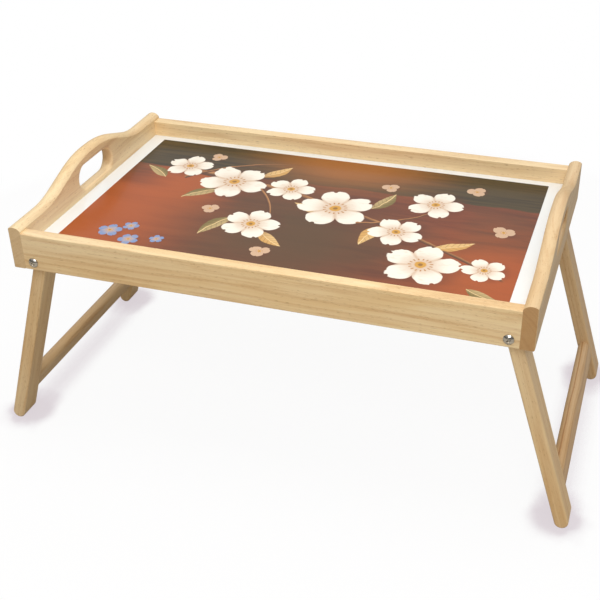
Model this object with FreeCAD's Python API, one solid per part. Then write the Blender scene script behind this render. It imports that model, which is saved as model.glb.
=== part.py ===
import FreeCAD, Part
import math
import os

# Bed tray table: a shallow wooden tray on two folding leg frames. Millimetres, +Z up.
# The origin lies on the floor, under the middle of the tray, with the legs unfolded.
# +X runs along the tray to its right-hand end board, and -Y is the front of the tray.
# Heights called "rise" are measured up from the tray's lower edge.

# ---- tray ----
TRAY_LENGTH = 501.0            # over the outer faces of the two end boards
TRAY_DEPTH = 303.5             # over the outer faces of the two rails
RAIL_HEIGHT = 37.4
RAIL_THICKNESS = 12.4
RAIL_ARRIS = 0.8               # rounding of a rail's long edges
BOARD_THICKNESS = 13.1

# ---- end board outline, seen from the end ----
SHOULDER_RISE = 43.2           # top of the board at its two ends
HANDLE_RISE = 65.5             # top of the handle
HANDLE_FLAT = 10.0             # straight stretch at the top of the handle
HANDLE_RADIUS = 130.0          # convex curve on each side of that stretch
SHOULDER_RADIUS = 90.0         # concave curve that runs out into the shoulder
SLOPE_DEG = 18.8               # straight run between the two curves
BOARD_ARRIS = 1.5              # rounding of the board's lower edges and outer end edges

# ---- crown along the board's top edge ----
CROWN_RADIUS = 8.8
CROWN_OFFSET = 0.8             # the crown's peak, outwards from the middle of the board
CROWN_ARRIS = 1.2              # where the crown runs into the faces

# ---- handle slot ----
SLOT_LENGTH = 69.0
SLOT_HEIGHT = 26.0
SLOT_RISE = 39.0               # middle of the slot
SLOT_ROUND = 3.5               # round-over on both faces

# ---- floor panel, held in grooves on four sides, and the card that lies on it ----
PANEL_THICKNESS = 3.0
PANEL_RISE = 17.9              # lower face of the panel
GROOVE_DEPTH = 5.0
GROOVE_PLAY = 0.1              # above the panel
PANEL_PLAY = 0.5               # between the panel's edge and the bottom of the groove
CARD_LENGTH = 442.0
CARD_DEPTH = 258.0
CARD_THICKNESS = 0.4

# ---- leg frames ----
LEG_LENGTH = 220.0             # pivot axis to the tip of the foot
LEG_THICKNESS = 13.4           # along the tray; the top and the foot are half round
LEG_WIDTH = 26.0               # across the tray
LEG_ARRIS = 2.0
SPLAY_DEG = 17.3               # outward lean of a leg that stands
PIVOT_RISE = 8.3
STOP_CLEARANCE = 0.3           # leg to the edge of the end board that stops it
STRETCHER_WIDTH = 24.0         # along the leg
STRETCHER_THICKNESS = 12.4     # the upper and lower edges are half round
STRETCHER_TO_FOOT = 27.0       # lower edge of the stretcher to the tip of the foot

# ---- pivot screws and washers ----
SHANK_RADIUS = 2.5
SCREW_GRIP = 17.0              # length of screw inside the leg
SCREW_POINT = 4.0              # tapered end, part of the grip
HEAD_RADIUS = 4.9
HEAD_HEIGHT = 3.0
HEAD_RIM = 0.9                 # straight side of the domed head
RECESS_LENGTH = 5.0            # cross recess, across two opposite arms
RECESS_WIDTH = 1.0
RECESS_DEPTH = 1.7
WASHER_RADIUS = 5.0
WASHER_THICKNESS = 0.8
WASHER_PLAY = 0.2              # washer hole round the shank
PILOT_PLAY = 0.02              # screw in the leg, where its thread bites
RUNNING_PLAY = 0.08            # screw in the rail, where it turns
AXIAL_PLAY = 0.1               # head and washer to the two faces of the rail

# ---- glued dowels ----
CORNER_DOWEL_RADIUS = 3.0
CORNER_DOWEL_IN_BOARD = 8.0
CORNER_DOWEL_IN_RAIL = 22.0
STRETCHER_DOWEL_RADIUS = 3.0
STRETCHER_DOWEL_SPACING = 12.0
STRETCHER_DOWEL_IN_LEG = 14.0
STRETCHER_DOWEL_IN_STRETCHER = 20.0
DOWEL_PLAY = 0.05              # round the dowel, for glue
DOWEL_END_PLAY = 0.8           # past each end of the dowel

CUT_MARGIN = 6.0               # how far a cutting body reaches past what it cuts

# ---- places worked out from the sizes above ----
SPLAY = math.radians(SPLAY_DEG)
LEG_RADIUS = LEG_THICKNESS / 2
BOARD_INNER_X = TRAY_LENGTH / 2 - BOARD_THICKNESS
HALF_DEPTH = TRAY_DEPTH / 2
RAIL_INNER_Y = HALF_DEPTH - RAIL_THICKNESS
RAIL_MIDDLE_Y = HALF_DEPTH - RAIL_THICKNESS / 2
PANEL_TOP_RISE = PANEL_RISE + PANEL_THICKNESS
LEG_OUTER_Y = RAIL_INNER_Y - AXIAL_PLAY - WASHER_THICKNESS
LEG_INNER_Y = LEG_OUTER_Y - LEG_WIDTH

PIVOT_Z = (LEG_LENGTH - LEG_RADIUS) * math.cos(SPLAY) + LEG_RADIUS
TRAY_Z = PIVOT_Z - PIVOT_RISE
# The leg's outer face stands off the rounded lower edge of the end board by the clearance.
PIVOT_X = (BOARD_INNER_X + BOARD_ARRIS
           - (BOARD_ARRIS + LEG_RADIUS + STOP_CLEARANCE
              + (PIVOT_RISE - BOARD_ARRIS) * math.sin(SPLAY)) / math.cos(SPLAY))
STRETCHER_DROP = LEG_LENGTH - STRETCHER_TO_FOOT - STRETCHER_WIDTH / 2
CORNER_DOWEL_RISE = (PANEL_TOP_RISE + GROOVE_PLAY + RAIL_HEIGHT) / 2

ENDS = {"left": -1, "right": 1}
SIDES = {"front": -1, "back": 1}


def vec(x, y, z):
    return FreeCAD.Vector(x, y, z)


X_AXIS = vec(1, 0, 0)
Y_AXIS = vec(0, 1, 0)
Z_AXIS = vec(0, 0, 1)
ORIGIN = vec(0, 0, 0)


def box(low, high):
    """A block between two opposite corners, given in any order."""
    corner = vec(*[min(a, b) for a, b in zip(low, high)])
    size = [abs(b - a) for a, b in zip(low, high)]
    return Part.makeBox(*size, corner)


def along(axis, shape):
    """Turn a shape made about +Z so that its +Z points along axis."""
    turned = shape.copy()
    turned.Placement = FreeCAD.Placement(ORIGIN, FreeCAD.Rotation(Z_AXIS, axis))
    return turned


def moved(shape, offset):
    placed = shape.copy()
    placed.translate(offset)
    return placed


def rod(radius, start, axis, length):
    return Part.makeCylinder(radius, length, start, axis)


def round_edged_bar(radius, top, bottom, width):
    """A bar along Y, flat on two sides and half round above and below.

    The half rounds are about the heights top and bottom, and width runs from y = 0.
    """
    over = Part.Arc(vec(-radius, 0, top), vec(0, 0, top + radius), vec(radius, 0, top))
    under = Part.Arc(vec(radius, 0, bottom), vec(0, 0, bottom - radius), vec(-radius, 0, bottom))
    outline = [over.toShape(), Part.makeLine(vec(radius, 0, top), vec(radius, 0, bottom)),
               under.toShape(), Part.makeLine(vec(-radius, 0, bottom), vec(-radius, 0, top))]
    return Part.Face(Part.Wire(outline)).extrude(vec(0, width, 0))


def long_edges(shape, axis):
    """The straight edges that run along one axis."""
    return [edge for edge in shape.Edges
            if edge.Curve.TypeId == "Part::GeomLine"
            and abs(edge.Curve.Direction.dot(axis)) > 0.999]


# ---- end boards ----

def top_line(half_length):
    """Edges of the line along the crown's peak, from the front end to the back end."""
    slope = math.radians(SLOPE_DEG)
    curve_drop = (HANDLE_RADIUS + SHOULDER_RADIUS) * (1 - math.cos(slope))
    run = (HANDLE_RISE - SHOULDER_RISE - curve_drop) / math.sin(slope)

    def on_handle(angle):
        y = HANDLE_FLAT / 2 + HANDLE_RADIUS * math.sin(angle)
        return y, HANDLE_RISE - HANDLE_RADIUS * (1 - math.cos(angle))

    run_start = on_handle(slope)
    run_end = (run_start[0] + run * math.cos(slope), run_start[1] - run * math.sin(slope))
    shoulder_y = run_end[0] + SHOULDER_RADIUS * math.sin(slope)

    def on_shoulder(angle):
        y = shoulder_y - SHOULDER_RADIUS * math.sin(angle)
        return y, SHOULDER_RISE + SHOULDER_RADIUS * (1 - math.cos(angle))

    def point(side, place):
        return vec(0, side * place[0], place[1])

    def half(side):
        top = point(side, on_handle(0))
        convex = [point(side, on_handle(slope / 2)), point(side, run_start)]
        foot = point(side, run_end)
        concave = [point(side, on_shoulder(slope / 2)), point(side, on_shoulder(0))]
        end = point(side, (half_length, SHOULDER_RISE))
        return [Part.Arc(top, *convex), Part.LineSegment(convex[-1], foot),
                Part.Arc(foot, *concave), Part.LineSegment(concave[-1], end)]

    front, back = half(-1), half(1)
    flat = Part.LineSegment(point(-1, on_handle(0)), point(1, on_handle(0)))
    return [curve.toShape() for curve in front[::-1] + [flat] + back]


def crown_section(outward):
    """Face in the XZ plane, above the crown, with the crown's peak line at its origin.

    The board's middle plane is x = 0, and outward is +1 or -1, towards the outer face.
    """
    half = BOARD_THICKNESS / 2
    peak_x = outward * CROWN_OFFSET
    centre = vec(peak_x, 0, -CROWN_RADIUS)

    def corner(side):
        """Points where the arris leaves the face, its middle, and where it meets the crown."""
        x = side * (half - CROWN_ARRIS)
        reach = CROWN_RADIUS - CROWN_ARRIS
        z = -CROWN_RADIUS + math.sqrt(reach ** 2 - (x - peak_x) ** 2)
        hub = vec(x, 0, z)
        outwards = (hub - centre).normalize()
        middle = (outwards + vec(side, 0, 0)).normalize()
        return (hub + vec(side * CROWN_ARRIS, 0, 0), hub + middle * CROWN_ARRIS,
                hub + outwards * CROWN_ARRIS)

    left, right = corner(-1), corner(1)
    peak = vec(peak_x, 0, 0)
    wide = half + CUT_MARGIN
    tall = CUT_MARGIN
    skyline = [left[0], vec(-wide, 0, left[0].z), vec(-wide, 0, tall),
               vec(wide, 0, tall), vec(wide, 0, right[0].z), right[0]]
    arcs = [Part.Arc(*left), Part.Arc(left[2], peak, right[2]), Part.Arc(*right[::-1])]
    edges = [arc.toShape() for arc in arcs]
    edges += [Part.makeLine(a, b) for a, b in zip(skyline, skyline[1:])]
    return Part.Face(Part.Wire(Part.__sortEdges__(edges)))


def crown_cutter(outward):
    """What is planed off above the crown, swept along the board's top line."""
    half_length = HALF_DEPTH + CUT_MARGIN
    spine = Part.Wire(top_line(half_length))
    section = crown_section(outward).OuterWire
    section.translate(vec(0, -half_length, SHOULDER_RISE))
    sweep = Part.BRepOffsetAPI.MakePipeShell(spine)
    sweep.setBiNormalMode(X_AXIS)
    sweep.add(section)
    sweep.build()
    sweep.makeSolid()
    return sweep.shape()


def slot_cutter():
    """Stadium-shaped bar through the board, widened at both faces by the round-over."""
    radius = SLOT_HEIGHT / 2
    reach = SLOT_LENGTH / 2 - radius
    low, high = -radius, radius
    front = Part.Arc(vec(0, -reach, high), vec(0, -reach - radius, 0), vec(0, -reach, low))
    back = Part.Arc(vec(0, reach, low), vec(0, reach + radius, 0), vec(0, reach, high))
    outline = [front.toShape(), Part.makeLine(vec(0, -reach, low), vec(0, reach, low)),
               back.toShape(), Part.makeLine(vec(0, reach, high), vec(0, -reach, high))]
    face = Part.Face(Part.Wire(outline))
    face.translate(vec(-BOARD_THICKNESS / 2 - CUT_MARGIN, 0, SLOT_RISE))
    return face.extrude(vec(BOARD_THICKNESS + 2 * CUT_MARGIN, 0, 0))


def slot_rims(board):
    """Edges of the slot on the two faces of the board."""
    rims = []
    for edge in board.Edges:
        bounds = edge.BoundBox
        on_face = abs(abs(bounds.XMin) - BOARD_THICKNESS / 2) < 0.01 and bounds.XLength < 0.01
        in_slot = (max(abs(bounds.YMin), abs(bounds.YMax)) < SLOT_LENGTH / 2 + 0.01
                   and max(abs(bounds.ZMin - SLOT_RISE), abs(bounds.ZMax - SLOT_RISE))
                   < SLOT_HEIGHT / 2 + 0.01)
        if on_face and in_slot:
            rims.append(edge)
    return rims


def end_board(end):
    """One end board about its own middle plane, then set in its place."""
    top = top_line(HALF_DEPTH)
    low = [vec(0, side * HALF_DEPTH, 0) for side in (1, -1)]
    high = [vec(0, side * HALF_DEPTH, SHOULDER_RISE) for side in (1, -1)]
    outline = top + [Part.makeLine(high[0], low[0]), Part.makeLine(low[0], low[1]),
                     Part.makeLine(low[1], high[1])]
    face = Part.Face(Part.Wire(outline))
    face.translate(vec(-BOARD_THICKNESS / 2, 0, 0))
    board = face.extrude(vec(BOARD_THICKNESS, 0, 0))

    lower = [edge for edge in long_edges(board, Y_AXIS) if edge.BoundBox.ZMin < 0.01]
    outer = [edge for edge in long_edges(board, Z_AXIS) if edge.BoundBox.XMin * end > 0]
    board = board.makeFillet(BOARD_ARRIS, lower + outer)
    board = board.cut(slot_cutter())
    board = board.makeFillet(SLOT_ROUND, slot_rims(board))
    board = board.cut(crown_cutter(end))

    inner_x = -end * BOARD_THICKNESS / 2
    groove_reach = RAIL_INNER_Y + GROOVE_DEPTH
    board = board.cut(box((inner_x, -groove_reach, PANEL_RISE),
                          (inner_x + end * GROOVE_DEPTH, groove_reach,
                           PANEL_TOP_RISE + GROOVE_PLAY)))
    for side in SIDES.values():
        mouth = vec(inner_x, side * RAIL_MIDDLE_Y, CORNER_DOWEL_RISE)
        depth = CORNER_DOWEL_IN_BOARD + DOWEL_END_PLAY
        board = board.cut(rod(CORNER_DOWEL_RADIUS + DOWEL_PLAY, mouth, X_AXIS * end, depth))
    board.translate(vec(end * (TRAY_LENGTH - BOARD_THICKNESS) / 2, 0, TRAY_Z))
    return board


# ---- rails ----

def rail(side):
    """A long rail between the end boards, with its groove, pivot holes and dowel holes."""
    outer_y, inner_y = side * HALF_DEPTH, side * RAIL_INNER_Y
    bar = box((-BOARD_INNER_X, outer_y, 0), (BOARD_INNER_X, inner_y, RAIL_HEIGHT))
    bar = bar.makeFillet(RAIL_ARRIS, long_edges(bar, X_AXIS))
    bar = bar.cut(box((-BOARD_INNER_X - CUT_MARGIN, inner_y - side * CUT_MARGIN, PANEL_RISE),
                      (BOARD_INNER_X + CUT_MARGIN, inner_y + side * GROOVE_DEPTH,
                       PANEL_TOP_RISE + GROOVE_PLAY)))
    for end in ENDS.values():
        pivot = vec(end * PIVOT_X, inner_y - side * CUT_MARGIN, PIVOT_RISE)
        bore_length = RAIL_THICKNESS + 2 * CUT_MARGIN
        bar = bar.cut(rod(SHANK_RADIUS + RUNNING_PLAY, pivot, Y_AXIS * side, bore_length))
        mouth = vec(end * BOARD_INNER_X, side * RAIL_MIDDLE_Y, CORNER_DOWEL_RISE)
        depth = CORNER_DOWEL_IN_RAIL + DOWEL_END_PLAY
        bar = bar.cut(rod(CORNER_DOWEL_RADIUS + DOWEL_PLAY, mouth, X_AXIS * -end, depth))
    return moved(bar, vec(0, 0, TRAY_Z))


def corner_dowel(end, side):
    start = vec(end * (BOARD_INNER_X + CORNER_DOWEL_IN_BOARD), side * RAIL_MIDDLE_Y,
                TRAY_Z + CORNER_DOWEL_RISE)
    length = CORNER_DOWEL_IN_BOARD + CORNER_DOWEL_IN_RAIL
    return rod(CORNER_DOWEL_RADIUS, start, X_AXIS * -end, length)


# ---- floor ----

def floor_panel():
    half_x = BOARD_INNER_X + GROOVE_DEPTH - PANEL_PLAY
    half_y = RAIL_INNER_Y + GROOVE_DEPTH - PANEL_PLAY
    return box((-half_x, -half_y, TRAY_Z + PANEL_RISE),
               (half_x, half_y, TRAY_Z + PANEL_TOP_RISE))


def printed_card():
    base = TRAY_Z + PANEL_TOP_RISE
    return box((-CARD_LENGTH / 2, -CARD_DEPTH / 2, base),
               (CARD_LENGTH / 2, CARD_DEPTH / 2, base + CARD_THICKNESS))


# ---- leg frames, made with the pivot axis at the origin and the leg straight down ----

def stood(shape, end):
    """Lean a piece of a leg frame outwards about its pivot and set it in the tray."""
    leaned = shape.copy()
    leaned.rotate(ORIGIN, Y_AXIS, -end * SPLAY_DEG)
    return moved(leaned, vec(end * PIVOT_X, 0, PIVOT_Z))


def stretcher_dowel_drops():
    return [STRETCHER_DROP + step * STRETCHER_DOWEL_SPACING / 2 for step in (-1, 1)]


def leg(end, side):
    """Half round at the top and the foot, with all long edges eased."""
    inner_y = side * LEG_INNER_Y
    foot = LEG_LENGTH - LEG_RADIUS
    bar = round_edged_bar(LEG_RADIUS, 0, -foot, side * LEG_WIDTH)
    rims = [edge for edge in bar.Edges if edge.BoundBox.YLength < 0.01]
    bar = moved(bar.makeFillet(LEG_ARRIS, rims), vec(0, inner_y, 0))

    outer_face = vec(0, side * LEG_OUTER_Y, 0)
    pilot = SHANK_RADIUS + PILOT_PLAY
    bar = bar.cut(rod(pilot, outer_face, Y_AXIS * -side, SCREW_GRIP + DOWEL_END_PLAY))
    for drop in stretcher_dowel_drops():
        mouth = vec(0, inner_y, -drop)
        depth = STRETCHER_DOWEL_IN_LEG + DOWEL_END_PLAY
        bar = bar.cut(rod(STRETCHER_DOWEL_RADIUS + DOWEL_PLAY, mouth, Y_AXIS * side, depth))
    return stood(bar, end)


def stretcher(end):
    """The slat that joins the two legs of one frame, just above the feet."""
    radius = STRETCHER_THICKNESS / 2
    reach = STRETCHER_WIDTH / 2 - radius
    slat = round_edged_bar(radius, -STRETCHER_DROP + reach, -STRETCHER_DROP - reach,
                           2 * LEG_INNER_Y)
    slat.translate(vec(0, -LEG_INNER_Y, 0))
    for side in SIDES.values():
        for drop in stretcher_dowel_drops():
            mouth = vec(0, side * LEG_INNER_Y, -drop)
            depth = STRETCHER_DOWEL_IN_STRETCHER + DOWEL_END_PLAY
            slat = slat.cut(rod(STRETCHER_DOWEL_RADIUS + DOWEL_PLAY, mouth,
                                Y_AXIS * -side, depth))
    return stood(slat, end)


def stretcher_dowel(end, side, drop):
    start = vec(0, side * (LEG_INNER_Y + STRETCHER_DOWEL_IN_LEG), -drop)
    length = STRETCHER_DOWEL_IN_LEG + STRETCHER_DOWEL_IN_STRETCHER
    return stood(rod(STRETCHER_DOWEL_RADIUS, start, Y_AXIS * -side, length), end)


def pivot_screw(end, side):
    """Domed screw with a cross recess: it turns in the rail and is fast in the leg."""
    shank_length = AXIAL_PLAY + RAIL_THICKNESS + AXIAL_PLAY + WASHER_THICKNESS + SCREW_GRIP
    neck = shank_length - SCREW_POINT
    rim = vec(HEAD_RADIUS, 0, HEAD_RIM)
    crown = vec(0, 0, HEAD_HEIGHT)
    # The dome's middle point sits on the circle through the rim and the crown.
    rise = HEAD_HEIGHT - HEAD_RIM
    dome_radius = (HEAD_RADIUS ** 2 + rise ** 2) / (2 * rise)
    half_x = HEAD_RADIUS / 2
    half_z = HEAD_HEIGHT - dome_radius + math.sqrt(dome_radius ** 2 - half_x ** 2)
    dome = Part.Arc(rim, vec(half_x, 0, half_z), crown).toShape()
    side_points = [crown, vec(0, 0, -shank_length), vec(SHANK_RADIUS, 0, -neck),
                   vec(SHANK_RADIUS, 0, 0), vec(HEAD_RADIUS, 0, 0), rim]
    edges = [dome] + [Part.makeLine(a, b) for a, b in zip(side_points, side_points[1:])]
    section = Part.Face(Part.Wire(Part.__sortEdges__(edges)))
    screw = section.revolve(ORIGIN, Z_AXIS, 360)

    arm, slim = RECESS_LENGTH / 2, RECESS_WIDTH / 2
    bottom, above = HEAD_HEIGHT - RECESS_DEPTH, HEAD_HEIGHT + CUT_MARGIN
    for half_arm, half_slim in ((arm, slim), (slim, arm)):
        screw = screw.cut(box((-half_arm, -half_slim, bottom), (half_arm, half_slim, above)))
    seat = vec(0, side * (HALF_DEPTH + AXIAL_PLAY), 0)
    return stood(moved(along(Y_AXIS * side, screw), seat), end)


def washer(end, side):
    outer_face = vec(0, side * LEG_OUTER_Y, 0)
    disc = rod(WASHER_RADIUS, outer_face, Y_AXIS * side, WASHER_THICKNESS)
    hole = rod(SHANK_RADIUS + WASHER_PLAY, outer_face, Y_AXIS * side, WASHER_THICKNESS)
    return stood(disc.cut(hole), end)


def build_pieces():
    pieces = {"floor_panel": floor_panel(), "printed_card": printed_card()}
    for side_name, side in SIDES.items():
        pieces[f"{side_name}_rail"] = rail(side)
    for end_name, end in ENDS.items():
        pieces[f"{end_name}_end_board"] = end_board(end)
        pieces[f"{end_name}_stretcher"] = stretcher(end)
        for side_name, side in SIDES.items():
            corner = f"{side_name}_{end_name}"
            pieces[f"{corner}_corner_dowel"] = corner_dowel(end, side)
            pieces[f"{corner}_leg"] = leg(end, side)
            pieces[f"{corner}_washer"] = washer(end, side)
            pieces[f"{corner}_pivot_screw"] = pivot_screw(end, side)
            for name, drop in zip(("upper", "lower"), stretcher_dowel_drops()):
                pieces[f"{corner}_{name}_stretcher_dowel"] = stretcher_dowel(end, side, drop)
    return pieces


def main():
    os.makedirs("parts", exist_ok=True)
    for name, shape in build_pieces().items():
        if not shape.isValid() or len(shape.Solids) != 1:
            raise RuntimeError(f"{name} is not one valid solid")
        shape.exportStep(f"parts/{name}.step")
    print(f"pivots at x = {PIVOT_X:.3f}, z = {PIVOT_Z:.3f}; tray's lower edge at z = {TRAY_Z:.3f}")


if __name__ == "__main__":
    main()
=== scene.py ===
import math
import random

import bpy
from mathutils import Matrix, Vector


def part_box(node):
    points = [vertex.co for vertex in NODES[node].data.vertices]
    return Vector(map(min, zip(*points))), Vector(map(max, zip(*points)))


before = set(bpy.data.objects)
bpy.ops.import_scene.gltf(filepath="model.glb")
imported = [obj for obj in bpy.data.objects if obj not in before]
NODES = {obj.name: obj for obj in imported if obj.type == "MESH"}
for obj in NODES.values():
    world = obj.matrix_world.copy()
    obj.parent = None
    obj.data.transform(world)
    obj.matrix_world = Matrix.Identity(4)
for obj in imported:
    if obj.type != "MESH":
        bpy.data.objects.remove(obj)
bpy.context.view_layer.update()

# Dressing of a bed tray table: rubberwood tray and folding leg frames, a white floor panel,
# a glossy printed card that lies on it, and nickel-plated screws. Metres, +Z up, front at -Y.

SIDES = ("front", "back")
ENDS = ("left", "right")
CORNERS = [f"{side}_{end}" for side in SIDES for end in ENDS]


# ---- node trees written as formulas ----

def linear(red, green, blue):
    """A colour given as 0 to 255 on screen, as the linear colour that shaders take."""
    def channel(value):
        share = value / 255
        return share / 12.92 if share <= 0.04045 else ((share + 0.055) / 1.055) ** 2.4
    return (channel(red), channel(green), channel(blue), 1.0)


class Signal:
    """An output socket that can be added, multiplied and so on."""

    def __init__(self, graph, socket):
        self.graph = graph
        self.socket = socket

    def __add__(self, other):
        return self.graph.math("ADD", self, other)

    def __sub__(self, other):
        return self.graph.math("SUBTRACT", self, other)

    def __rsub__(self, other):
        return self.graph.math("SUBTRACT", other, self)

    def __mul__(self, other):
        return self.graph.math("MULTIPLY", self, other)

    def __truediv__(self, other):
        return self.graph.math("DIVIDE", self, other)

    def __pow__(self, other):
        return self.graph.math("POWER", self, other)


# A Mix node has a socket of each kind under the same title, so they go by number.
MIX_INPUTS = (0, 6, 7)          # share, and the two colours
MIX_COLOUR = 2


class Graph:
    """A node tree, with a short call for each kind of node used here."""

    def __init__(self, tree, output):
        self.tree = tree
        self.tree.nodes.clear()
        self.output = self.tree.nodes.new(output)

    def feed(self, socket, value):
        if isinstance(value, Signal):
            self.tree.links.new(value.socket, socket)
        else:
            socket.default_value = value

    def node(self, kind, inputs=(), **settings):
        made = self.tree.nodes.new("ShaderNode" + kind)
        for key, value in settings.items():
            setattr(made, key, value)
        for key, value in dict(inputs).items():
            self.feed(made.inputs[key], value)
        return made

    def math(self, operation, *values):
        made = self.node("Math", operation=operation)
        for socket, value in zip(made.inputs, values):
            self.feed(socket, value)
        return Signal(self, made.outputs[0])

    def sine(self, value):
        return self.math("SINE", value)

    def cosine(self, value):
        return self.math("COSINE", value)

    def size(self, value):
        return self.math("ABSOLUTE", value)

    def angle(self, up, across):
        return self.math("ARCTAN2", up, across)

    def reach(self, across, up):
        """How far a point lies from the middle."""
        return self.math("SQRT", across * across + up * up)

    def highest(self, first, second):
        return self.math("MAXIMUM", first, second)

    def step(self, value, low, high):
        """0 below low, 1 above high and smooth between; it runs the other way if low is higher."""
        start, end = (0.0, 1.0) if low < high else (1.0, 0.0)
        made = self.node("MapRange", {"Value": value, "From Min": min(low, high),
                                      "From Max": max(low, high), "To Min": start,
                                      "To Max": end}, interpolation_type="SMOOTHSTEP")
        return Signal(self, made.outputs["Result"])

    def place(self):
        """The point on the piece, in the shared frame at rest."""
        return Signal(self, self.node("TexCoord").outputs["Object"])

    def facing(self):
        """The surface's direction, in the shared frame at rest."""
        return Signal(self, self.node("TexCoord").outputs["Normal"])

    def mapped(self, vector, place=(0, 0, 0), turn=(0, 0, 0), scale=(1, 1, 1)):
        made = self.node("Mapping", {"Vector": vector, "Location": place, "Rotation": turn,
                                     "Scale": scale})
        return Signal(self, made.outputs["Vector"])

    def split(self, vector):
        made = self.node("SeparateXYZ", {"Vector": vector})
        return [Signal(self, socket) for socket in made.outputs]

    def joined(self, x, y):
        return Signal(self, self.node("CombineXYZ", {"X": x, "Y": y}).outputs[0])

    def length(self, vector):
        made = self.node("VectorMath", operation="LENGTH")
        self.feed(made.inputs[0], vector)
        return Signal(self, made.outputs["Value"])

    def noise(self, vector, scale=1.0, detail=2.0, roughness=0.5, distortion=0.0):
        made = self.node("TexNoise", {"Vector": vector, "Scale": scale, "Detail": detail,
                                      "Roughness": roughness, "Distortion": distortion})
        return Signal(self, made.outputs["Fac"])

    def bands(self, value, scale):
        """Uneven stripes along one number."""
        made = self.node("TexNoise", {"W": value, "Scale": scale, "Detail": 3.0,
                                      "Roughness": 0.6}, noise_dimensions="1D")
        return Signal(self, made.outputs["Fac"])

    def mix(self, share, first, second):
        """The first colour, and share of the second over it."""
        made = self.node("Mix", data_type="RGBA")
        for index, value in zip(MIX_INPUTS, (share, first, second)):
            self.feed(made.inputs[index], value)
        return Signal(self, made.outputs[MIX_COLOUR])

    def redness(self, colour):
        return Signal(self, self.node("SeparateColor", {"Color": colour}).outputs["Red"])

    def bump(self, height, distance, strength):
        made = self.node("Bump", {"Height": height, "Distance": distance,
                                  "Strength": strength})
        return Signal(self, made.outputs["Normal"])

    def shader(self, kind, inputs):
        return Signal(self, self.node(kind, inputs).outputs[0])

    def blended(self, share, first, second):
        made = self.node("MixShader", {"Fac": share})
        self.feed(made.inputs[1], first)
        self.feed(made.inputs[2], second)
        return Signal(self, made.outputs[0])

    def show(self, shader):
        self.feed(self.output.inputs["Surface"], shader)

    def surface(self, inputs):
        self.show(self.shader("BsdfPrincipled", inputs))


def new_material(name):
    """A material and the graph of its nodes."""
    material = bpy.data.materials.new(name)
    material.use_nodes = True
    return material, Graph(material.node_tree, "ShaderNodeOutputMaterial")


# ---- wood ----

WOOD_PALE = linear(252, 227, 181)
WOOD_TAN = linear(242, 208, 153)
WOOD_STREAK = linear(202, 146, 85)
WOOD_RUST = linear(152, 90, 40)
WOOD_DEEP = linear(178, 122, 62)
WOOD_PORE = linear(160, 112, 64)
WOOD_END = linear(186, 140, 88)
RING_SCALE = 260.0              # growth bands per metre, before their unevenness
BROAD_RING_SCALE = 57.2         # wide, faint bands over them
RING_WANDER = 0.012             # how far a growth band strays
PITH_DISTANCE = 0.11            # from the piece to the middle of the tree
BOARD_SPREAD = 3.0              # how far from the start of the endless plank a piece can lie
GRAIN_RELIEF = 0.00012          # depth of the grain under the lacquer
LACQUER = {"Specular IOR Level": 0.30, "Coat Weight": 0.20, "Coat Roughness": 0.25}


def wood(name, turn, seed, figure=0.40, end_share=0.8, warmth=0.0, streak=WOOD_STREAK):
    """Clear-lacquered rubberwood.

    turn lays the piece's grain along X and seed picks its board. figure is the strength of
    the streaks, end_share that of the darker end grain and warmth that of the deep tone.
    """
    draw = random.Random(seed)
    material, graph = new_material(name)
    offset = [draw.uniform(-BOARD_SPREAD, BOARD_SPREAD) for _ in range(3)]
    pith_turn = draw.uniform(0, math.tau)
    point = graph.mapped(graph.place(), place=offset, turn=turn)
    direction = graph.mapped(graph.facing(), turn=turn)

    along, across, upward = graph.split(point)
    pith_y = across - (offset[1] + PITH_DISTANCE * math.cos(pith_turn))
    pith_z = upward - (offset[2] + PITH_DISTANCE * math.sin(pith_turn))
    wander = graph.noise(graph.mapped(point, scale=(5, 26, 26)), detail=2.0)
    radius = graph.length(graph.joined(pith_y, pith_z)) + wander * RING_WANDER
    growth = graph.bands(radius, RING_SCALE)
    broad = graph.bands(radius, BROAD_RING_SCALE)
    fibre = graph.noise(graph.mapped(point, scale=(9, 520, 520)), detail=4.0, roughness=0.65)
    cloud = graph.noise(graph.mapped(point, scale=(4, 22, 22)), detail=3.0)
    drift = graph.noise(graph.mapped(point, scale=(2.5, 6, 6)), detail=1.0)
    mottle = graph.noise(graph.mapped(point, scale=(13, 150, 150)), detail=3.0)
    pore = graph.noise(graph.mapped(point, scale=(190, 2300, 2300)), detail=1.0)
    pores = graph.step(pore, 0.62, 0.70) * graph.step(growth, 0.40, 0.58)

    body = graph.mix(graph.step(cloud, 0.32, 0.68), WOOD_PALE, WOOD_TAN)
    body = graph.mix(graph.step(mottle, 0.48, 0.70) * 0.26, body, WOOD_STREAK)
    body = graph.mix(graph.step(mottle, 0.46, 0.30) * 0.50, body, WOOD_PALE)
    streaks = graph.step(growth, 0.47, 0.72) * figure
    body = graph.mix(streaks, body, streak)
    body = graph.mix(graph.step(broad, 0.48, 0.70) * (figure * 0.55), body, streak)
    body = graph.mix(graph.step(fibre, 0.45, 0.75) * 0.20, body, WOOD_STREAK)
    body = graph.mix(pores * 0.55, body, WOOD_PORE)
    body = graph.mix(graph.step(drift, 0.42, 0.62) * 0.08 + warmth, body, WOOD_DEEP)

    ends = graph.step(graph.size(graph.split(direction)[0]), 0.60, 0.93) * end_share
    speckle = graph.noise(graph.mapped(point, scale=(900, 1500, 1500)), detail=2.0)
    end_grain = graph.mix(graph.step(speckle, 0.5, 0.72) * 0.5, WOOD_END, WOOD_PORE)
    end_grain = graph.mix(graph.step(growth, 0.45, 0.7) * 0.35, end_grain, WOOD_PORE)
    colour = graph.mix(ends, body, end_grain)

    relief = fibre * 0.35 + growth * 0.25 - pores * 0.6
    graph.surface({
        "Base Color": colour,
        "Roughness": fibre * 0.22 + 0.30,
        "Normal": graph.bump(relief, GRAIN_RELIEF, 0.6),
        **LACQUER,
    })
    return material


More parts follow.
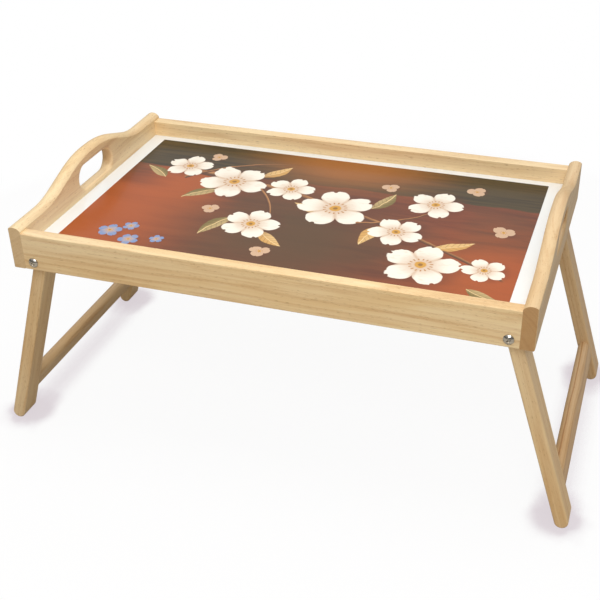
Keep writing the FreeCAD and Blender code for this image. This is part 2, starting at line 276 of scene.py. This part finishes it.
# ---- other finishes ----

PANEL_WHITE = linear(245, 248, 248)
PANEL_SHADE = linear(237, 240, 238)
PANEL_DUST = linear(205, 198, 184)
NICKEL = linear(214, 208, 198)
NICKEL_DARK = linear(150, 143, 132)
STEEL = linear(186, 184, 180)


def laminate():
    """White melamine face with a faint orange peel."""
    material, graph = new_material("white_laminate")
    point = graph.place()
    cloud = graph.noise(point, scale=9.0, detail=3.0)
    peel = graph.noise(point, scale=620.0, detail=2.0)
    dust = graph.step(graph.noise(point, scale=900.0, detail=1.0), 0.74, 0.80)
    colour = graph.mix(graph.step(cloud, 0.35, 0.75) * 0.6, PANEL_WHITE, PANEL_SHADE)
    colour = graph.mix(dust * 0.25, colour, PANEL_DUST)
    graph.surface({
        "Base Color": colour,
        "Roughness": cloud * 0.10 + 0.20,
        "Normal": graph.bump(peel, 0.00005, 0.35),
        "Coat Weight": 0.3,
        "Coat Roughness": 0.12,
    })
    return material


def plating():
    """Bright nickel with fine tumbling marks and a random duller haze."""
    material, graph = new_material("nickel_plating")
    point = graph.place()
    haze = graph.noise(point, scale=450.0, detail=4.0)
    marks = graph.noise(graph.mapped(point, scale=(2600, 700, 2600)), detail=2.0)
    colour = graph.mix(graph.step(haze, 0.42, 0.72) * 0.45, NICKEL, NICKEL_DARK)
    graph.surface({
        "Base Color": colour,
        "Metallic": 1.0,
        "Roughness": haze * 0.16 + 0.12,
        "Normal": graph.bump(marks, 0.00003, 0.3),
    })
    return material


def brushed_steel():
    """Zinc-plated washer with fine turning marks."""
    material, graph = new_material("brushed_steel")
    point = graph.place()
    lines = graph.noise(graph.mapped(point, scale=(400, 400, 4000)), detail=3.0)
    colour = graph.mix(graph.step(lines, 0.3, 0.7), STEEL, NICKEL_DARK)
    graph.surface({
        "Base Color": colour,
        "Metallic": 1.0,
        "Roughness": lines * 0.2 + 0.28,
        "Normal": graph.bump(lines, 0.00003, 0.4),
    })
    return material


# ---- the print on the card: blossoms on a russet ground, with a dark band behind ----

OLIVE = linear(77, 62, 35)
OLIVE_DARK = linear(53, 44, 27)
RUSSET = linear(133, 66, 37)
RUSSET_DARK = linear(99, 47, 29)
EMBER = linear(180, 88, 34)
UMBER = linear(88, 65, 40)
IVORY = linear(250, 243, 228)
PETAL_SHADE = linear(212, 176, 144)
PETAL_BLUE = linear(128, 152, 196)
HEART = linear(214, 158, 66)
BARK = linear(92, 56, 36)
BARK_LIGHT = linear(190, 134, 82)
LEAF_GOLD = linear(214, 164, 92)
LEAF_GREEN = linear(128, 112, 62)
LEAF_VEIN = linear(240, 208, 150)
AMBER = linear(172, 104, 44)
BAND_EDGE = 0.064               # front edge of the dark band, from the middle of the tray
BAND_BLUR = 0.0015              # half the width over which that edge fades

# Soft pools of colour on the ground: middle (x, y), reach and colour.
POOLS = ((-0.20, -0.07, 0.16, EMBER), (0.20, -0.08, 0.12, EMBER), (-0.14, 0.03, 0.08, EMBER),
         (-0.01, -0.05, 0.17, UMBER))

# Each motif: place on the card (x, y), size and turn, in metres and radians.
# A branch also has its bend and its width, as shares of its size.
BRANCHES = (
    ((0.020, -0.010), 0.205, -0.36, 0.13, 0.020), ((-0.105, 0.072), 0.060, 0.55, 0.20, 0.030),
    ((0.092, 0.026), 0.055, 0.70, -0.25, 0.030), ((-0.060, 0.000), 0.060, -1.10, 0.25, 0.030),
)
LEAVES = (
    ((-0.062, 0.079), 0.021, 0.9), ((-0.126, 0.012), 0.022, -2.4), ((0.070, -0.028), 0.024, -1.9),
    ((0.068, 0.044), 0.022, 1.2), ((0.156, -0.030), 0.021, 0.5), ((0.196, -0.112), 0.018, -0.4),
    ((-0.006, 0.010), 0.018, 2.6), ((-0.084, -0.052), 0.024, -2.0),
    ((-0.020, -0.066), 0.020, -0.7), ((-0.190, 0.050), 0.020, 2.5),
)
BLOSSOMS = (
    ((-0.162, 0.070), 0.027, 0.3), ((-0.100, 0.046), 0.039, 1.0), ((-0.036, 0.046), 0.027, 0.1),
    ((0.022, 0.016), 0.041, 0.6), ((0.118, 0.052), 0.030, 1.3), ((0.094, -0.016), 0.029, 0.9),
    ((0.132, -0.072), 0.038, 0.2), ((0.190, -0.066), 0.022, 0.8), ((-0.048, -0.040), 0.031, 1.4),
)
BUDS = (
    ((-0.140, 0.100), 0.010, 0.2), ((0.152, 0.094), 0.011, 1.1), ((-0.020, -0.090), 0.011, 0.5),
    ((0.064, 0.078), 0.010, 0.9), ((0.194, 0.012), 0.012, 0.3), ((-0.100, -0.020), 0.010, 0.7),
)
POSIES = (
    ((-0.176, -0.092), 0.013, 0.4), ((-0.150, -0.104), 0.011, 1.0),
    ((-0.160, -0.078), 0.009, 0.1), ((-0.124, -0.096), 0.008, 0.6),
)
BLOSSOM_PETALS = 5
BUD_PETALS = 3
STROKE = 0.04                   # softness of a painted edge, as a share of the motif
HAND_SWAY = 0.003               # unsteadiness of the painted outlines
BRUSH_DRAG = 0.0005             # how far light paint underneath shifts an outline


def print_ground(graph, across, deep, flat):
    """Brushed russet with warm and dark pools, under an uneven olive-brown band."""
    brush = graph.noise(graph.mapped(flat, turn=(0, 0, 0.35), scale=(7, 46, 1)),
                        detail=5.0, roughness=0.62, distortion=0.6)
    cloud = graph.noise(flat, scale=8.0, detail=4.0)
    ground = graph.mix(graph.step(brush, 0.35, 0.68), RUSSET, RUSSET_DARK)
    ground = graph.mix(graph.step(cloud, 0.42, 0.66) * 0.5, ground, UMBER)
    for x, y, size, colour in POOLS:
        away = graph.reach(across - x, deep - y) + (brush - 0.5) * 0.06
        ground = graph.mix(graph.step(away, size, 0.02) * 0.8, ground, colour)
    ragged = graph.noise(graph.mapped(flat, scale=(22, 60, 1)), detail=3.0)
    band = graph.step(deep + (ragged - 0.5) * 0.016, BAND_EDGE - BAND_BLUR,
                      BAND_EDGE + BAND_BLUR)
    grain = graph.noise(graph.mapped(flat, scale=(9, 150, 1)), detail=4.0)
    ground = graph.mix(band, ground, graph.mix(graph.step(grain, 0.35, 0.7), OLIVE, OLIVE_DARK))
    from_glow = graph.reach(across - 0.01, (deep - 0.118) * 1.8) + (brush - 0.5) * 0.05
    return graph.mix(graph.step(from_glow, 0.15, 0.02) * 0.8, ground, AMBER)


MOTIF_INPUTS = {"Colour": "Color", "Across": "Float", "Deep": "Float", "X": "Float",
                "Y": "Float", "Cosine": "Float", "Sine": "Float", "Wobble": "Float",
                "Paint": "Float"}


def motif(name, paint, **extra_inputs):
    """A node group that paints one kind of motif over a colour.

    paint gets the point as seen from the motif: its middle at 0 and its edge about 1 away.
    """
    tree = bpy.data.node_groups.new(name, "ShaderNodeTree")
    for title, kind in {**MOTIF_INPUTS, **extra_inputs}.items():
        tree.interface.new_socket(title, in_out="INPUT", socket_type="NodeSocket" + kind)
    tree.interface.new_socket("Colour", in_out="OUTPUT", socket_type="NodeSocketColor")
    graph = Graph(tree, "NodeGroupOutput")
    sockets = tree.nodes.new("NodeGroupInput").outputs
    given = {socket.name: Signal(graph, socket) for socket in sockets if socket.name}
    drag = graph.redness(given["Colour"]) * BRUSH_DRAG
    right = given["Across"] + drag - given["X"]
    back = given["Deep"] - drag - given["Y"]
    along = right * given["Cosine"] + back * given["Sine"]
    side = back * given["Cosine"] - right * given["Sine"]
    graph.feed(graph.output.inputs["Colour"], paint(graph, given, along, side))
    return tree


def paint_branch(graph, given, along, side):
    """A bowed twig, thin at its far end."""
    width = given["Width"]
    off_line = (side - (1.0 - along * along) * given["Bend"]) / width
    thick = (1.35 - along) * 0.6 + given["Wobble"] * 0.6
    within = graph.step(graph.size(along), 1.0, 0.97)
    cover = graph.step(thick - graph.size(off_line), 0.0, 0.25) * within
    bark = graph.mix(graph.step(off_line, -0.4, 0.9), BARK, BARK_LIGHT)
    return graph.mix(cover, given["Colour"], bark)


def paint_leaf(graph, given, along, side):
    """A pointed, slightly bent leaf with a pale rib and darker veins."""
    side = side - along * along * 0.14
    half_width = (1.0 - along * along) * graph.highest(along * -0.12 + 0.36, 0.1)
    off_rib = graph.size(side)
    cover = graph.step(half_width - off_rib, 0.0, STROKE)
    veins = graph.step(graph.sine((along - off_rib * 0.9) * 22.0), 0.55, 1.0)
    body = graph.mix(graph.step(side, -0.25, 0.30) * 0.5, given["Tint"], LEAF_VEIN)
    body = graph.mix(veins * 0.30, body, BARK)
    body = graph.mix(graph.step(off_rib, 0.035, 0.012), body, LEAF_VEIN)
    return graph.mix(cover, given["Colour"], body)


def paint_blossom(graph, given, along, side):
    """Rounded petals round a golden heart, creased where they meet, over a soft shadow."""
    shade_away = graph.reach(along - 0.10, side + 0.14)
    ground = graph.mix(graph.step(shade_away, 1.15, 0.45) * 0.5, given["Colour"], RUSSET_DARK)
    away = graph.reach(along, side)
    angle = graph.angle(side, along)
    lobe = graph.size(graph.cosine(angle * given["Petals"] * 0.5))
    notch = graph.step(lobe, 0.985, 1.0) * 0.07
    edge = lobe ** 0.55 * 0.46 + (given["Wobble"] - 0.5) * 0.20 + 0.52 - notch
    cover = graph.step(edge - away, 0.0, STROKE)
    paint = given["Paint"]
    crease = graph.step(lobe, 0.42, 0.0) * graph.step(away, 0.10, 0.35)
    depth = graph.step(away + (paint - 0.5) * 0.35, 0.72, 0.10)
    body = graph.mix(depth * 0.75, given["Tint"], PETAL_SHADE)
    body = graph.mix(crease * 0.65, body, PETAL_SHADE)
    body = graph.mix(graph.step(paint, 0.52, 0.75) * 0.30, body, PETAL_SHADE)
    dots = graph.step(graph.sine(angle * given["Petals"] * 3.0), 0.2, 0.8)
    stamens = dots * graph.step(graph.size(away - 0.27), 0.055, 0.025)
    body = graph.mix(stamens, body, BARK_LIGHT)
    body = graph.mix(graph.step(away, 0.17, 0.13), body, HEART)
    body = graph.mix(graph.step(away, 0.08, 0.04) * 0.6, body, BARK)
    return graph.mix(cover, ground, body)


def card_print():
    """The card's glossy print: the ground, then each motif painted over what is beneath."""
    material, graph = new_material("card_print")
    across, deep, _ = graph.split(graph.place())
    flat = graph.joined(across, deep)
    wobble = graph.noise(flat, scale=70.0)
    sway = (wobble - 0.5) * HAND_SWAY
    shared = {"Across": across + sway, "Deep": deep - sway, "Wobble": wobble,
              "Paint": graph.noise(graph.mapped(flat, scale=(90, 160, 1)), detail=4.0)}
    colour = print_ground(graph, across, deep, flat)

    def add(kind, place, size, turn, **extra):
        made = graph.node("Group", {
            **shared, "Colour": colour, "X": place[0], "Y": place[1],
            "Cosine": math.cos(turn) / size, "Sine": math.sin(turn) / size, **extra,
        }, node_tree=kind)
        return Signal(graph, made.outputs["Colour"])

    branch = motif("branch", paint_branch, Bend="Float", Width="Float")
    leaf = motif("leaf", paint_leaf, Tint="Color")
    blossom = motif("blossom", paint_blossom, Petals="Float", Tint="Color")
    for place, size, turn, bend, width in BRANCHES:
        colour = add(branch, place, size, turn, Bend=bend, Width=width)
    for index, spot in enumerate(LEAVES):
        colour = add(leaf, *spot, Tint=(LEAF_GOLD, LEAF_GREEN)[index % 2])
    for spots, petals, tint in ((BLOSSOMS, BLOSSOM_PETALS, IVORY),
                                (BUDS, BUD_PETALS, PETAL_SHADE),
                                (POSIES, BLOSSOM_PETALS, PETAL_BLUE)):
        for spot in spots:
            colour = add(blossom, *spot, Petals=petals, Tint=tint)
    graph.surface({
        "Base Color": colour,
        "Roughness": 0.30,
        "Specular IOR Level": 0.22,
        "Coat Weight": 0.10,
        "Coat Roughness": 0.10,
    })
    return material


def put(material, *names):
    """Gives the named pieces this material and no other."""
    for name in names:
        slots = NODES[name].data.materials
        slots.clear()
        slots.append(material)


# ---- each piece's wood and finish ----

ALONG_X = (0.0, 0.0, 0.0)
ALONG_Y = (0.0, 0.0, -math.pi / 2)

# Each piece of the tray: its material's name, its grain, its seed and how its wood differs.
TRAY_WOOD = {
    "front_rail": ("front_rail_wood", ALONG_X, 11, {"figure": 0.32}),
    "back_rail": ("back_rail_wood", ALONG_X, 23, {"figure": 0.18}),
    "left_end_board": ("left_board_wood", ALONG_Y, 37, {"figure": 0.10, "end_share": 0.45}),
    "right_end_board": ("right_board_wood", ALONG_Y, 41, {"figure": 0.14, "warmth": 0.22}),
}
# How far each leg's wood leans to the warmer, darker tone.
LEG_WARMTH = {"front_left": 0.12, "front_right": 0.0, "back_left": 0.22, "back_right": 0.40}
STRETCHER_LOOK = {"figure": 0.80, "warmth": 0.42, "streak": WOOD_RUST}
LEG_SEED = 50                   # the first leg's; the others follow on
STRETCHER_SEED = 70
CORNER_DOWEL_SEED = 90
STRETCHER_DOWEL_SEED = 91


def middle(node):
    low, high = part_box(node)
    return (low + high) / 2


def leg_turn(end):
    """Lays a leg's length along X, going by the line from its pivot to the stretcher."""
    pivot = middle(f"front_{end}_pivot_screw")
    foot = middle(f"{end}_stretcher")
    return (0.0, math.atan2(foot.z - pivot.z, foot.x - pivot.x), 0.0)


def dress_wood():
    for piece, (name, grain, seed, look) in TRAY_WOOD.items():
        put(wood(name, grain, seed, **look), piece)
    for index, corner in enumerate(CORNERS):
        end = corner.split("_")[1]
        put(wood(f"{corner}_leg_wood", leg_turn(end), LEG_SEED + index,
                 warmth=LEG_WARMTH[corner]), f"{corner}_leg")
    for index, end in enumerate(ENDS):
        put(wood(f"{end}_stretcher_wood", ALONG_Y, STRETCHER_SEED + index, **STRETCHER_LOOK),
            f"{end}_stretcher")
    for corner in CORNERS:
        put(wood(f"{corner}_dowel_wood", ALONG_X, CORNER_DOWEL_SEED),
            f"{corner}_corner_dowel")
        put(wood(f"{corner}_stretcher_dowel_wood", ALONG_Y, STRETCHER_DOWEL_SEED),
            f"{corner}_upper_stretcher_dowel", f"{corner}_lower_stretcher_dowel")


def dress_fittings():
    put(plating(), *[f"{corner}_pivot_screw" for corner in CORNERS])
    put(brushed_steel(), *[f"{corner}_washer" for corner in CORNERS])
    put(laminate(), "floor_panel")
    put(card_print(), "printed_card")


# ---- stage ----

WHITE = (1.0, 1.0, 1.0, 1.0)
FLOOR_SIZE = 24.0
FLOOR_PAPER = (0.52, 0.49, 0.44, 1.0)       # what the floor reflects onto the object
FLOOR_SEEN = (0.97, 0.955, 0.965, 1.0)      # what the camera sees of it, before its glow and its painted contact shade
FLOOR_FADE_NEAR = 0.45          # where the floor starts to fade into the backdrop
FLOOR_FADE_FAR = 0.75
SHADOW_SHARE = 0.09             # how much of the object's wide soft shadow shows
CONTACT_REACH = 0.036           # height below which a piece also gets a painted shade on the floor under it
# Colour of the painted contact shade that the floor's glow shows under low pieces.
PAINTED_CONTACT_SHADE = linear(222, 214, 219)
CONTACT_FULL = 0.80             # share of open space above, at which that painted shade is full
CONTACT_NONE = 0.92             # and at which it ends


def floor_finish():
    """A pale sweep that keeps a share of the object's shadow and shows as white further away;
    under low pieces it also has a painted contact shade.
    """
    material, graph = new_material("sweep")
    seen = Signal(graph, graph.node("LightPath").outputs["Is Camera Ray"])
    colour = graph.mix(seen, FLOOR_PAPER, FLOOR_SEEN)
    paper = graph.shader("BsdfDiffuse", {"Color": colour})
    # Painted shade: the floor's glow turns darker where the Ambient Occlusion node finds a piece
    # close above, instead of a lamp's shadow.
    open_share = graph.node("AmbientOcclusion", {"Distance": CONTACT_REACH}).outputs["AO"]
    painted_contact_shade = graph.mix(graph.step(Signal(graph, open_share), CONTACT_FULL, CONTACT_NONE),
                        PAINTED_CONTACT_SHADE, WHITE)
    glow = graph.shader("Emission", {"Color": painted_contact_shade, "Strength": 1.0})
    away = graph.step(graph.length(graph.place()), FLOOR_FADE_NEAR, FLOOR_FADE_FAR)
    share = seen * graph.highest(away, 1.0 - SHADOW_SHARE)
    graph.show(graph.blended(share, paper, glow))
    return material


def make_floor():
    mesh = bpy.data.meshes.new("floor")
    half = FLOOR_SIZE / 2
    corners = [(-half, -half, 0), (half, -half, 0), (half, half, 0), (-half, half, 0)]
    mesh.from_pydata(corners, [], [(0, 1, 2, 3)])
    mesh.materials.append(floor_finish())
    floor = bpy.data.objects.new("floor", mesh)
    bpy.context.scene.collection.objects.link(floor)


SKY_HORIZON = 0.10
SKY_ZENITH = 1.0
CEILING = (1.0, 0.99, 0.97, 1.0)
BACK_WALL = 0.6                 # what the wall behind the table adds, above its foot
WALL_SIDES = (0.25, 0.75)       # share of a direction that points back: dark to full
WALL_FOOT = (0.05, 0.35)        # share that points up: dark to full
LAMP_TARGET = Vector((0.0, 0.0, 0.2))
# Each square lamp: place, edge and watts.
LAMPS = {"key": ((0.30, -1.30, 1.25), 0.8, 10.5), "overhead": ((0.02, -0.12, 1.00), 0.4, 1.9)}


def make_world():
    """A soft ceiling of light, darker walls and a pale back wall; the camera sees white."""
    world = bpy.data.worlds.new("studio")
    world.use_nodes = True
    graph = Graph(world.node_tree, "ShaderNodeOutputWorld")
    direction = Signal(graph, graph.node("TexCoord").outputs["Generated"])
    _, back, height = graph.split(direction)
    level = graph.highest(height, 0.0) ** 2 * (SKY_ZENITH - SKY_HORIZON) + SKY_HORIZON
    wall = graph.step(back, *WALL_SIDES) * graph.step(height, *WALL_FOOT)
    level = level + wall * BACK_WALL
    ceiling = graph.shader("Background", {"Color": CEILING, "Strength": level})
    backdrop = graph.shader("Background", {"Color": WHITE, "Strength": 1.0})
    seen = Signal(graph, graph.node("LightPath").outputs["Is Camera Ray"])
    graph.show(graph.blended(seen, ceiling, backdrop))
    bpy.context.scene.world = world


def soft_lamp(name, place, edge, watts):
    data = bpy.data.lights.new(name, "AREA")
    data.shape = "SQUARE"
    data.size = edge
    data.energy = watts
    lamp = bpy.data.objects.new(name, data)
    lamp.location = place
    lamp.rotation_mode = "QUATERNION"
    lamp.rotation_quaternion = (LAMP_TARGET - Vector(place)).to_track_quat("-Z", "Y")
    bpy.context.scene.collection.objects.link(lamp)


def make_lamps():
    for name, (place, edge, watts) in LAMPS.items():
        soft_lamp(name, place, edge, watts)


# ---- camera ----

CAMERA_PLACE = (0.3170, -0.9090, 0.7080)
CAMERA_YAW = 18.576             # degrees, as are the next two
CAMERA_PITCH = -32.564
CAMERA_ROLL = -0.896
CAMERA_SENSOR = 36.0
CAMERA_LENS = 63.89
CAMERA_SHIFT = (-0.0370, 0.0352)
CAMERA_CLIP = (0.05, 60.0)


def make_camera():
    data = bpy.data.cameras.new("camera")
    data.sensor_width = CAMERA_SENSOR
    data.lens = CAMERA_LENS
    data.shift_x, data.shift_y = CAMERA_SHIFT
    data.clip_start, data.clip_end = CAMERA_CLIP
    camera = bpy.data.objects.new("camera", data)
    camera.matrix_world = (Matrix.Translation(CAMERA_PLACE)
                           @ Matrix.Rotation(math.radians(CAMERA_YAW), 4, "Z")
                           @ Matrix.Rotation(math.radians(90 + CAMERA_PITCH), 4, "X")
                           @ Matrix.Rotation(math.radians(CAMERA_ROLL), 4, "Z"))
    bpy.context.scene.collection.objects.link(camera)
    bpy.context.scene.camera = camera


make_camera()
make_world()
make_lamps()
make_floor()
dress_wood()
dress_fittings()
bpy.context.scene.view_settings.view_transform = "Standard"
